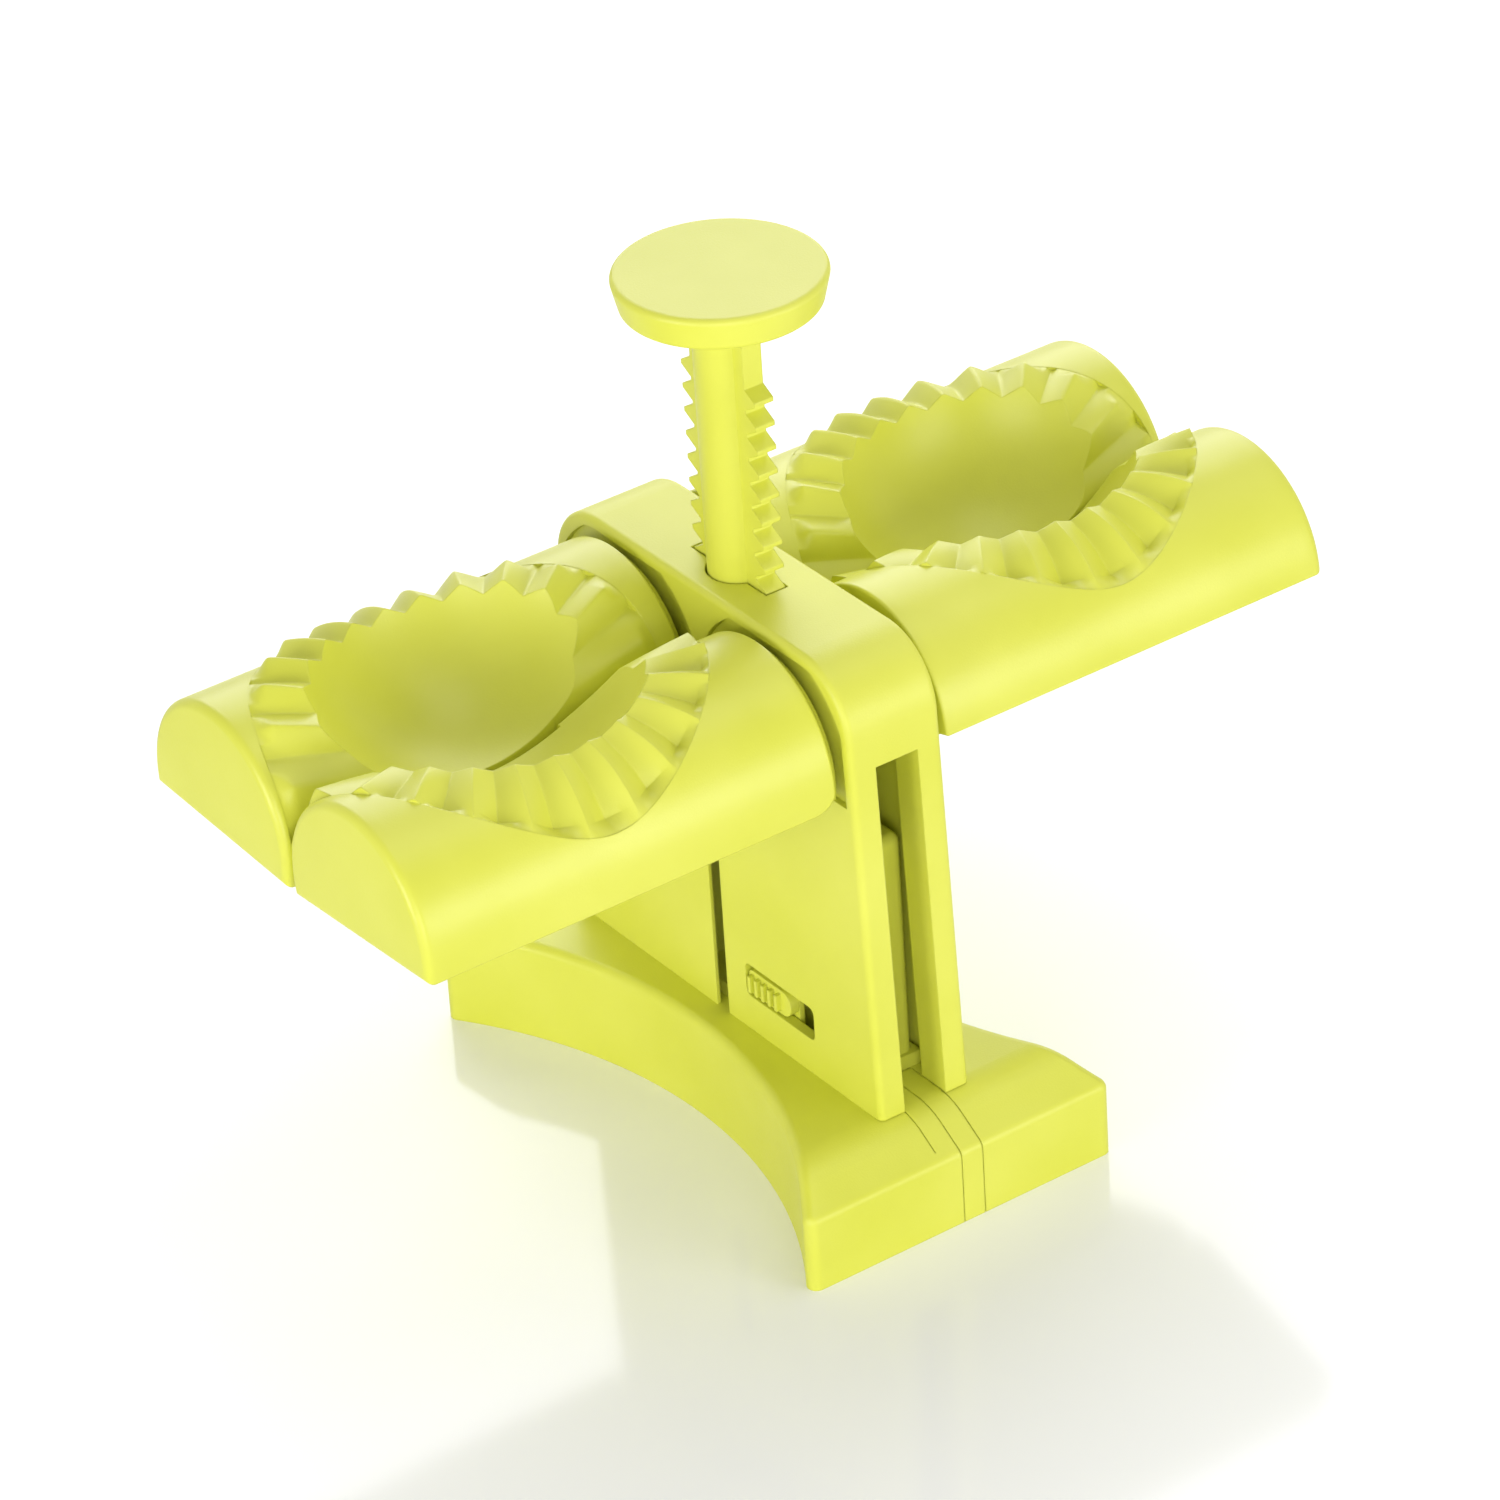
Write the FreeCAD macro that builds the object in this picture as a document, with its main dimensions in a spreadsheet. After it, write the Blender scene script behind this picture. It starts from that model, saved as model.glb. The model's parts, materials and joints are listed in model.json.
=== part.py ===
"""Two-station dumpling maker: a plunger with a double rack turns four pleated half moulds by half a turn.

The frame: origin on the floor under the middle of the base, X along the mould axles, Y across them, Z up.
"""
import FreeCAD
import Part
import math
import os
import re

# Driving sizes, in millimetres unless the name says degrees, count or share.
SIZES = {
    # Base
    "base_half_length": 61.25,
    "base_half_width": 37.15,
    "base_waist_half_width": 17.0,
    "base_height": 21.6,
    "base_wall": 3.0,
    "base_end_drop": 6.0,
    "base_brow": 9.4,
    "base_brow_rounding": 14.0,
    "base_edge_rounding": 2.0,
    "floor_plate_thickness": 3.2,
    "seam_gap": 0.2,
    "strip_width": 4.7,
    "strip_thickness": 1.4,
    # Screws into plastic
    "screw_radius": 1.3,
    "screw_head_radius": 2.5,
    "screw_head_height": 1.6,
    "screw_bite": 9.0,
    "screw_slot_width": 0.7,
    "screw_slot_depth": 0.8,
    "post_radius": 3.4,
    "post_inset": 14.0,
    "post_half_spacing": 19.0,
    # Tower
    "tower_half_depth": 10.4,
    "tower_crown": 22.9,
    "tower_end_margin": 10.85,
    "tower_taper": 4.2,
    "tower_shoulder": 14.0,
    "tower_edge_rounding": 1.4,
    "tower_face_wall": 2.2,
    "tower_side_wall": 7.5,
    "tower_top_wall": 3.0,
    "side_slot_half_width": 4.8,
    "side_slot_reach": 3.1,
    "face_slot_half_width": 1.9,
    "face_slot_height": 34.6,
    "face_slot_lip": 0.8,
    "face_slot_flare": 2.4,
    "stop_half_width": 3.0,
    "stop_depth": 1.7,
    "stop_height": 5.0,
    "recess_margin": 1.6,
    "recess_rim": 2.2,
    "recess_depth": 1.2,
    "bearing_length": 5.8,
    "bearing_wall": 2.6,
    # Upright inside the tower
    "upright_half_depth": 6.5,
    "upright_side_gap": 12.0,
    "upright_drop": 19.8,
    "upright_rounding": 2.0,
    "upright_bay_half_width": 12.8,
    "upright_front_recess": 2.1,
    "plinth_height": 3.0,
    "plinth_lip": 0.9,
    # Plunger
    "stroke": 40.0,
    "rod_radius": 6.0,
    "rod_foot_clearance": 1.4,
    "rod_bore_radius": 4.4,
    "rod_bore_depth": 80.0,
    "rod_clearance": 0.4,
    "rack_half_thickness": 2.15,
    "rack_slot_clearance": 0.5,
    "tooth_pitch": 5.0,
    "tooth_addendum": 1.2,
    "tooth_dedendum": 1.75,
    "tooth_backlash": 0.12,
    "tooth_angle_degrees": 30.0,
    "rack_teeth_above_count": 12,
    "rack_teeth_below_count": 2,
    "pinion_teeth_count": 16,
    "pinion_half_thickness": 2.6,
    "lug_height": 9.0,
    "lug_half_width": 2.4,
    "lug_clearance": 0.3,
    "lug_top_gap": 1.0,
    "button_radius": 20.4,
    "button_foot_radius": 18.8,
    "button_thickness": 6.8,
    "button_rounding": 1.1,
    "button_stop_gap": 15.9,
    "spigot_radius": 4.2,
    "spigot_height": 2.4,
    # Return spring
    "spring_wire_radius": 0.5,
    "spring_radius": 3.2,
    "spring_turns_count": 24,
    "spring_pin_radius": 2.2,
    "spring_pin_height": 32.0,
    "spring_seat_gap": 0.3,
    # Lock
    "lock_slot_inner": 8.4,
    "lock_slot_outer": 30.2,
    "lock_slot_rise": 7.8,
    "lock_slot_height": 7.2,
    "lock_slot_rounding": 1.3,
    "lock_top_gap": 1.5,
    "lock_thumb_length": 13.4,
    "lock_clearance": 0.3,
    "lock_rib_count": 5,
    "lock_rib_width": 0.9,
    "lock_rib_pitch": 2.1,
    "lock_rib_height": 1.1,
    "lock_plate_thickness": 1.2,
    "lock_plate_margin": 2.0,
    "lock_peg_half_width": 1.6,
    "catch_thickness": 1.5,
    "catch_margin": 3.0,
    "catch_rise": 6.0,
    # Moulds
    "mould_reach": 102.5,
    "mould_standoff": 2.3,
    "mould_radius": 22.4,
    "mould_gap": 1.2,
    "mould_axis_height": 92.9,
    "mould_flat_drop": 4.5,
    "mould_wall": 2.5,
    "mould_skin": 5.8,
    "mould_end_rounding": 1.0,
    "flange_drop": 2.6,
    "flange_clearance": 0.4,
    "journal_radius": 7.4,
    "journal_clearance": 0.06,
    "cover_thickness": 1.4,
    "cover_ledge": 1.6,
    "pry_half_length": 4.8,
    "rest_tilt_degrees": 3.0,
    "spline_count": 28,
    "spline_radius": 5.2,
    "spline_depth": 0.5,
    "spline_clearance": 0.1,
    # Bowl and pleats
    "bowl_centre": 58.8,
    "bowl_radius": 36.2,
    "bowl_rise": 39.8,
    "pleat_reach": 43.0,
    "pleat_root": 16.0,
    "pleat_height": 1.5,
    "pleat_horn": 0.5,
    "pleat_lean": 1.7,
    "pleat_clearance": 0.5,
    "pleat_tuck_degrees": 2.0,
    "pleat_tuck_room_degrees": 2.4,
    "pleat_recede": 1.2,
    "pleat_lean_start_degrees": 40.0,
    "pleat_lean_end_degrees": 140.0,
    "pleat_lap": 0.4,
    "pleat_bed_depth": 3.6,
    "pleat_count": 13,
    # Tie bolts
    "bolt_radius": 1.6,
    "bolt_head_radius": 2.7,
    "bolt_head_height": 2.2,
    "bolt_tail": 0.8,
    "bolt_clearance": 0.15,
    "nut_half_flats": 2.3,
    "nut_height": 2.6,
    # Cuts run this far past the faces that they open
    "overrun": 2.0,
}

# Places and sizes that several pieces share, worked out from the driving sizes.
PLACES = {
    # Base
    "side_rise": "base_half_width - base_waist_half_width",
    "side_radius": "(base_half_length ^ 2 + side_rise ^ 2) / (2 * side_rise)",
    "ceiling": "base_height - base_wall",
    "base_end_height": "base_height - base_end_drop",
    "base_slant": "sqrt(base_end_drop ^ 2 + base_brow ^ 2)",
    "strip_bed_depth": "strip_thickness + seam_gap",
    "score_depth": "strip_thickness / 2",
    "post_y": "base_half_length - post_inset",
    # Tower
    "tower_top": "mould_axis_height + tower_crown",
    "tower_foot_half_width": "base_half_length - tower_end_margin",
    "tower_top_half_width": "tower_foot_half_width - tower_taper",
    "tower_screw_x": "(side_slot_half_width + tower_half_depth) / 2",
    "tower_screw_y": "tower_foot_half_width - tower_side_wall / 2",
    "cavity_depth": "tower_half_depth - tower_face_wall",
    "side_slot_top": "mould_axis_height + side_slot_reach",
    "face_slot_top": "base_height + face_slot_height",
    "recess_radius": "mould_radius + recess_margin",
    "recess_floor": "tower_half_depth - recess_depth",
    "bearing_end": "recess_floor - bearing_length",
    # Upright inside the tower
    "plinth_top": "base_height + plinth_height",
    "upright_top": "mould_axis_height - upright_drop",
    "upright_half_width": "tower_foot_half_width - upright_side_gap",
    "upright_front": "upright_half_depth - upright_front_recess",
    "upright_screw_x": "upright_front_recess / 2",
    "upright_screw_y": "(upright_bay_half_width + upright_half_width) / 2",
    # Moulds
    "axle_y": "mould_radius + mould_gap / 2",
    "mould_start": "tower_half_depth + mould_standoff",
    "mould_core_radius": "mould_radius - mould_skin",
    "flange_radius": "mould_radius - flange_drop",
    "bolt_seat": "mould_start + mould_wall",
    # Plunger
    "pitch_radius": "pinion_teeth_count * tooth_pitch / (2 * pi)",
    "tooth_tip": "axle_y - pitch_radius + tooth_addendum",
    "rod_foot": "plinth_top + stroke + rod_foot_clearance",
    "rod_bore_top": "rod_foot + rod_bore_depth",
    "stop_level": "rod_foot + lug_height + lug_top_gap",
    "button_foot": "tower_top + stroke + button_stop_gap",
    # Lock
    "lock_slot_low": "base_height + lock_slot_rise",
    "lock_slot_high": "lock_slot_low + lock_slot_height",
    "lock_middle": "(lock_slot_low + lock_slot_high) / 2",
    "slide_low": "lock_slot_low + lock_clearance",
    "slide_high": "lock_slot_high - lock_top_gap",
    "lock_travel": "lock_slot_outer - lock_slot_inner - lock_thumb_length - 2 * lock_clearance",
    "lock_inner": "lock_slot_inner + lock_clearance",
    "lock_outer": "lock_inner + lock_thumb_length",
    "lock_face": "tower_half_depth - lock_rib_height / 2",
    "peg_y": "lock_inner + lock_thumb_length / 2",
    "peg_room": "lock_peg_half_width + lock_clearance",
    "locked_y": "peg_y + lock_travel",
    "notch_level": "lock_middle + stroke",
    "catch_back": "upright_front + lock_clearance",
    "catch_front": "catch_back + catch_thickness",
    "keeper_front": "cavity_depth - lock_clearance",
    "keeper_back": "keeper_front - lock_plate_thickness",
}


def formula(text, own=""):
    """Point each word of a formula at its cell; a sheet's own cells need no prefix."""
    def cell(found):
        for name, words in (("Dim", SIZES), ("Place", PLACES)):
            if found[0] in words:
                return found[0] if name == own else "%s.%s" % (name, found[0])
        return found[0]
    return re.sub(r"[a-z][a-z_]*", cell, text)


doc = FreeCAD.newDocument("DumplingMaker")
DIM = {}
for name, table in (("Dim", SIZES), ("Place", PLACES)):
    sheet = doc.addObject("Spreadsheet::Sheet", name)
    for row, (word, value) in enumerate(table.items(), start=1):
        sheet.set("A%d" % row, word)
        sheet.set("B%d" % row, "=" + formula(value, name) if name == "Place" else str(value))
        sheet.setAlias("B%d" % row, word)
    doc.recompute()
    DIM.update((word, float(sheet.get(word))) for word in table)
NODES = []
TURN_POINTS = 24
FLANK_POINTS = 4
PLEAT_ROWS = 4
NUT_SIDES = 6
ALONG_X = FreeCAD.Rotation(FreeCAD.Vector(0, 1, 0), 90)
UPRIGHT = FreeCAD.Rotation(FreeCAD.Vector(1, 0, 0), 90)


# Working helpers: every size is a formula in the sheets' words
def bind(item, rules):
    for name, text in rules.items():
        item.setExpression(name, formula(text))
    return item


def spot(x="0", y="0", z="0"):
    return {"Placement.Base.x": x, "Placement.Base.y": y, "Placement.Base.z": z}


def block(name, x, y, z):
    """A box between pairs of formulas along X, Y and Z."""
    item = doc.addObject("Part::Box", name)
    rules = spot(x[0], y[0], z[0])
    for edge, (low, high) in zip(("Length", "Width", "Height"), (x, y, z)):
        rules[edge] = "(%s) - (%s)" % (high, low)
    return bind(item, rules)


def post(name, radius, low, high, x="0", y="0"):
    """An upright cylinder."""
    item = doc.addObject("Part::Cylinder", name)
    rules = spot(x, y, low)
    rules.update(Radius=radius, Height="(%s) - (%s)" % (high, low))
    return bind(item, rules)


def axle(name, radius, low, high, y="0", z="0"):
    """A cylinder along X."""
    item = doc.addObject("Part::Cylinder", name)
    item.Placement = FreeCAD.Placement(FreeCAD.Vector(), ALONG_X)
    rules = spot(low, y, z)
    rules.update(Radius=radius, Height="(%s) - (%s)" % (high, low))
    return bind(item, rules)


def taper(name, half_depth, foot, top, low, high):
    """An upright block with level ends, of steady depth along X, whose half width goes from foot to top."""
    item = doc.addObject("Part::Wedge", name)
    item.Placement = FreeCAD.Placement(FreeCAD.Vector(), UPRIGHT)
    rules = {"Xmin": "-(%s)" % half_depth, "Xmax": half_depth, "Ymin": low, "Ymax": high}
    rules.update({"X2min": "-(%s)" % half_depth, "X2max": half_depth})
    rules.update({"Zmin": "-(%s)" % foot, "Zmax": foot, "Z2min": "-(%s)" % top, "Z2max": top})
    return bind(item, rules)


def fuse(name, *pieces):
    item = doc.addObject("Part::MultiFuse", name)
    item.Shapes = list(pieces)
    item.Refine = True
    return item


def cut(name, base, *tools):
    item = doc.addObject("Part::Cut", name)
    item.Base = base
    item.Tool = tools[0] if len(tools) == 1 else fuse(name + "_tools", *tools)
    item.Refine = True
    return item


def common(name, base, tool):
    item = doc.addObject("Part::Common", name)
    item.Base = base
    item.Tool = tool
    return item


def rounded(name, base, radius, chosen):
    """Round the edges of a piece that the test picks."""
    doc.recompute()
    item = doc.addObject("Part::Fillet", name)
    item.Base = base
    edges = enumerate(base.Shape.Edges, start=1)
    item.Edges = [(i, radius, radius) for i, edge in edges if chosen(edge.BoundBox)]
    return item


def shaped(name, shape):
    """A piece whose outline comes from a formula that no plain feature has."""
    item = doc.addObject("Part::Feature", name)
    item.Shape = shape
    return item


def node(label, item, place=None):
    """Name a finished piece, and put one that was drawn on its own axis in its place."""
    item.Label = label
    if place:
        item.Placement = place
    NODES.append(item)
    return item


def near(a, b):
    return abs(a - b) < DIM["seam_gap"] / 2


def flat_prism(points, low, high):
    """A prism along X on a closed outline of (y, z) points."""
    corners = [FreeCAD.Vector(low, y, z) for y, z in points]
    face = Part.Face(Part.makePolygon(corners + corners[:1]))
    return face.extrude(FreeCAD.Vector(high - low, 0, 0))


def crosswise(box):
    return near(box.YMin, box.YMax) and near(box.ZMin, box.ZMax)


def waisted(name, inset, low, high, sloped=True):
    """The base's plan, drawn in by an inset: square ends, hollow sides and a top that slopes to the ends."""
    half_length = "(base_half_length - %s)" % inset
    half_width = "(base_half_width - %s)" % inset
    end_top = high
    if sloped:
        end_top = "(base_end_height - %s * (base_slant - base_end_drop) / base_brow)" % inset
    slab = block(name + "_slab", ("-" + half_width, half_width), ("-" + half_length, half_length),
                 (low, end_top))
    if sloped:
        brow = "(base_half_length - base_brow - %s * (base_slant - base_brow) / base_end_drop)" % inset
        crown = taper(name + "_crown", half_width, half_length, brow, end_top, high)
        middle = DIM["base_half_length"] - DIM["base_brow"] / 2
        slab = rounded(name + "_sloped", fuse(name + "_gable", slab, crown),
                       DIM["base_brow_rounding"] - DIM.get(inset, 0),
                       lambda box: crosswise(box) and abs(box.YMin) < middle)
    radius = "side_radius + " + inset
    far = "(base_waist_half_width + side_radius)"
    bites = [post(name + "_bite_%s" % tag, radius, low + " - overrun", high + " + overrun", x=sign + far)
             for tag, sign in (("left", "-"), ("right", ""))]
    return cut(name, slab, *bites)


def four_corners(x, y):
    return [(sx + x, sy + y) for sx in ("-", "") for sy in ("-", "")]


def screws(name, places, seat):
    """Pan-head screws driven upward, with their heads under a seat height, as one group of solids."""
    group = []
    for i, (x, y) in enumerate(places):
        tag = "%s_%d" % (name, i)
        head_low = "(%s) - screw_head_height" % seat
        head = post(tag + "_head", "screw_head_radius", head_low, seat, x, y)
        shank = post(tag + "_shank", "screw_radius", seat, "(%s) + screw_bite" % seat, x, y)
        groove = block(tag + "_groove", ("%s - screw_head_radius" % x, "%s + screw_head_radius" % x),
                       ("%s - screw_slot_width / 2" % y, "%s + screw_slot_width / 2" % y),
                       (head_low, head_low + " + screw_slot_depth"))
        group.append(cut(tag, fuse(tag + "_body", head, shank), groove))
    item = doc.addObject("Part::Compound", name)
    item.Links = group
    return node(name, item)


def screw_holes(name, places, low, high, radius="screw_radius + seam_gap / 4"):
    return [post("%s_%d" % (name, i), radius, low, high, x, y) for i, (x, y) in enumerate(places)]


def span(sign, low, high):
    """A range on one side of the middle: as given, or mirrored to the negative side."""
    return ("-(%s)" % high, "-(%s)" % low) if sign == "-" else (low, high)


ENDS = (("front", "-"), ("rear", ""))
PILOT_SPAN = ("base_height - overrun", "ceiling + screw_bite + overrun / 2")


# Base: a hollow waisted foot, the plate that closes it from below and an inlaid strip at each end
def strip_lane(name, sign, margin):
    """The lane that an end strip fills, beside the middle: over the top from the plinth, and down the end."""
    other = "" if sign == "-" else "-"
    return block(name + "_lane", span(other, "-(%s)" % margin, "strip_width + " + margin),
                 span(sign, "upright_half_width + plinth_lip + seam_gap - " + margin,
                      "base_half_length + overrun"),
                 ("-overrun", "base_height + overrun"))


def score_lane(name, sign):
    """A thin line over the top, as far from the middle as the strip's outer side."""
    return block(name + "_lane", span(sign, "strip_width - seam_gap / 2", "strip_width + seam_gap / 2"),
                 span(sign, "upright_half_width", "base_half_length - base_edge_rounding"),
                 ("base_end_height - base_wall", "base_height + overrun"))


def base_skin(name, outer, depth):
    """The outermost layer of the base, to a depth."""
    return cut(name, outer, waisted(name + "_core", depth, "-overrun", "base_height - " + depth))


def make_base():
    square = waisted("base_square", "0", "0", "base_height")

    def rim(box):
        inner_line = crosswise(box) and abs(box.YMin) < DIM["base_half_length"] - DIM["seam_gap"]
        return not near(box.ZMax, 0) and not inner_line
    outer = rounded("base_outer", square, DIM["base_edge_rounding"], rim)
    hollow = waisted("base_hollow", "base_wall", "-overrun", "ceiling")
    shell = cut("base_hollowed", outer, hollow)
    post_places = four_corners("post_half_spacing", "post_y")
    post_span = ("floor_plate_thickness", "ceiling + base_wall / 2")
    posts = [post("base_post_%d" % i, "post_radius", *post_span, x, y)
             for i, (x, y) in enumerate(post_places)]
    post_seat = "floor_plate_thickness / 2"
    holes = screw_holes("base_post_hole", post_places, "0", post_seat + " + screw_bite + overrun / 2")
    tower_places = four_corners("tower_screw_x", "tower_screw_y")
    frame_places = [("upright_screw_x", sign + "upright_screw_y") for sign in ("-", "")]
    top_span = ("ceiling - overrun", "base_height + overrun")
    holes += screw_holes("base_top_hole", tower_places + frame_places, *top_span)
    holes += screw_holes("base_top_seat", tower_places, "ceiling - screw_head_height - overrun", "ceiling",
                         "screw_head_radius + seam_gap")
    bed = base_skin("strip_bed", outer, "strip_bed_depth")
    scored = base_skin("score_layer", outer, "score_depth")
    lines = [common("%s_strip_bed" % tag, bed, strip_lane("%s_bed" % tag, sign, "seam_gap"))
             for tag, sign in ENDS]
    lines += [common("%s_score" % tag, scored, score_lane("%s_score" % tag, sign)) for tag, sign in ENDS]
    node("base_shell", cut("base_shell", fuse("base_posted", shell, *posts), *holes, *lines))

    skin = base_skin("strip_layer", outer, "strip_thickness")
    for tag, sign in ENDS:
        node("%s_end_strip" % tag, common("%s_end_strip" % tag, skin, strip_lane("%s_strip" % tag, sign, "0")))

    plate = waisted("floor_plate_blank", "(base_wall + seam_gap)", "0", "floor_plate_thickness",
                    sloped=False)
    plate_holes = screw_holes("plate_hole", post_places, "-overrun", "floor_plate_thickness + overrun")
    sinks = screw_holes("plate_sink", post_places, "-overrun", post_seat, "screw_head_radius + seam_gap")
    node("floor_plate", cut("floor_plate", plate, *plate_holes, *sinks))
    screws("floor_plate_screws", post_places, post_seat)
    screws("tower_screws", tower_places, "ceiling")
    screws("upright_screws", frame_places, "ceiling")


# Tower: one housing with bearings for the mould axles, openings for the plunger and lock, and inner stops
def tower_outline(name, inset_side, inset_top, half_depth, shoulder):
    blank = taper(name + "_blank", half_depth, "tower_foot_half_width - " + inset_side,
                  "tower_top_half_width - " + inset_side, "base_height", "tower_top - " + inset_top)

    def shoulders(box):
        return crosswise(box) and box.ZMin > DIM["mould_axis_height"]
    return rounded(name, blank, shoulder, shoulders)


def make_tower():
    square = tower_outline("tower_square", "0", "0", "tower_half_depth", DIM["tower_shoulder"])

    def face_edges(box):
        return near(box.XMin, box.XMax) and box.ZMax > DIM["mould_axis_height"]
    outer = rounded("tower_outer", square, DIM["tower_edge_rounding"], face_edges)
    cavity = tower_outline("tower_cavity", "tower_side_wall", "tower_top_wall", "cavity_depth",
                           DIM["tower_shoulder"] - DIM["tower_top_wall"])
    through = ("-tower_half_depth - overrun", "tower_half_depth + overrun")
    side_slot = block("tower_side_slot", ("-side_slot_half_width", "side_slot_half_width"),
                      ("-tower_foot_half_width - overrun", "tower_foot_half_width + overrun"),
                      ("base_height - overrun", "side_slot_top"))
    face_slot = block("tower_face_slot", through, ("-face_slot_half_width", "face_slot_half_width"),
                      ("base_height - overrun", "face_slot_top"))
    flare_depth = "(tower_half_depth - face_slot_lip)"
    flare_width = "(face_slot_half_width + face_slot_flare)"
    face_flare = block("tower_face_flare", ("-" + flare_depth, flare_depth),
                       ("-" + flare_width, flare_width),
                       ("base_height - overrun", "face_slot_top + face_slot_flare"))
    lock_window = block("tower_lock_window", ("-tower_half_depth - overrun", "-cavity_depth + overrun"),
                        ("-lock_slot_outer", "-lock_slot_inner"), ("lock_slot_low", "lock_slot_high"))
    lock_slot = rounded("tower_lock_slot", lock_window, DIM["lock_slot_rounding"], crosswise)
    key_reach = "(tooth_tip + rack_slot_clearance)"
    key_depth = "(rack_half_thickness + rod_clearance)"
    key_z = ("tower_top - tower_top_wall - overrun", "tower_top + overrun")
    key_flat = block("tower_key_flat", ("-" + key_depth, key_depth), ("-" + key_reach, key_reach), key_z)
    key_round = post("tower_key_round", "rod_radius + rod_clearance", *key_z)
    discs = [axle("tower_recess_%s" % tag, "recess_radius", *through, sign + "axle_y", "mould_axis_height")
             for tag, sign in ENDS]
    rim = tower_outline("tower_recess_rim", "recess_rim", "recess_rim", "(tower_half_depth + overrun)",
                        DIM["tower_shoulder"] - DIM["recess_rim"])
    middle = block("tower_recess_middle", ("-recess_floor", "recess_floor"),
                   ("-tower_foot_half_width", "tower_foot_half_width"), ("base_height", "tower_top"))
    below = block("tower_recess_below", through, ("-tower_foot_half_width", "tower_foot_half_width"),
                  ("base_height", "mould_axis_height - mould_flat_drop"))
    recess_plan = common("tower_recess_plan", fuse("tower_recess_discs", *discs), rim)
    recess = cut("tower_recess", recess_plan, middle, below)
    places = four_corners("tower_screw_x", "tower_screw_y")
    pilots = screw_holes("tower_pilot", places, *PILOT_SPAN)
    openings = [side_slot, face_slot, face_flare, lock_slot, key_flat, key_round, recess]
    walls = cut("tower_walls", outer, cavity, *openings, *pilots)
    sides = (("left", "-"), ("right", ""))
    stops = [block("tower_%s_stop" % side, span(mirror, "cavity_depth - stop_depth", "recess_floor"),
                   ("-stop_half_width", "stop_half_width"), ("stop_level", "stop_level + stop_height"))
             for side, mirror in sides]
    bosses = []
    bores = []
    for tag, sign in ENDS:
        for side, mirror in sides:
            name = "tower_%s_%s" % (tag, side)
            low, high = span(mirror, "bearing_end", "recess_floor")
            bosses.append(axle(name + "_boss", "journal_radius + bearing_wall", low, high,
                               sign + "axle_y", "mould_axis_height"))
        bores.append(axle("tower_%s_bore" % tag, "journal_radius + journal_clearance", *through,
                          sign + "axle_y", "mould_axis_height"))
    node("tower_housing", cut("tower_housing", fuse("tower_bossed", walls, *stops, *bosses), *bores))


# Upright: the inner block that the housing is fitted over, with a bay for the rod and a seat for its spring
def make_upright():
    lip_depth = "(upright_half_depth + plinth_lip)"
    lip_width = "(upright_half_width + plinth_lip)"
    plinth = block("upright_plinth", ("-" + lip_depth, lip_depth), ("-" + lip_width, lip_width),
                   ("base_height", "plinth_top"))
    cheeks = []
    for tag, sign in ENDS:
        cheek = block("upright_%s_blank" % tag, ("-upright_front", "upright_half_depth"),
                      span(sign, "upright_bay_half_width", "upright_half_width"),
                      ("base_height", "upright_top"))
        cheeks.append(rounded("upright_%s_cheek" % tag, cheek, DIM["upright_rounding"],
                              lambda box: not near(box.ZMax, DIM["base_height"])))
    places = [("upright_screw_x", sign + "upright_screw_y") for sign in ("-", "")]
    pilots = screw_holes("upright_pilot", places, *PILOT_SPAN)
    pin_hole = post("upright_pin_hole", "spring_pin_radius + seam_gap / 4", "base_height - overrun",
                    "plinth_top + overrun")
    well = block("upright_lock_well", ("-upright_front - overrun", "upright_front"),
                 ("-lock_slot_outer", "-lock_outer"), ("lock_slot_low", "lock_slot_high"))
    body = fuse("upright_body", plinth, *cheeks)
    node("inner_upright", cut("inner_upright", body, *pilots, pin_hole, well))
    node("spring_guide_pin", post("spring_guide_pin", "spring_pin_radius", "base_height",
                                  "plinth_top + spring_pin_height"))


# Return spring: one wire wound round the guide pin and up inside the rod
def biarc(start, start_way, end, end_way):
    """Two arcs that leave one point along its direction and meet the other along its own."""
    chord = end - start
    ways = start_way + end_way
    bend = 2 * (1 - start_way.dot(end_way))
    reach = chord.dot(ways)
    arm = (-reach + math.sqrt(reach * reach + bend * chord.dot(chord))) / bend
    middle = (start + end + (start_way - end_way) * arm) * 0.5
    arcs = []
    for near_end, way, sign in ((start, start_way, 1), (end, end_way, -1)):
        line = (middle - near_end) * sign
        lean = (way + line * (1 / line.Length))
        lean.normalize()
        top = near_end + lean * (sign * line.Length / (2 * way.dot(lean)))
        first, last = (near_end, middle) if sign > 0 else (middle, near_end)
        arcs.append(Part.Arc(first, top, last).toShape())
    return arcs


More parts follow.
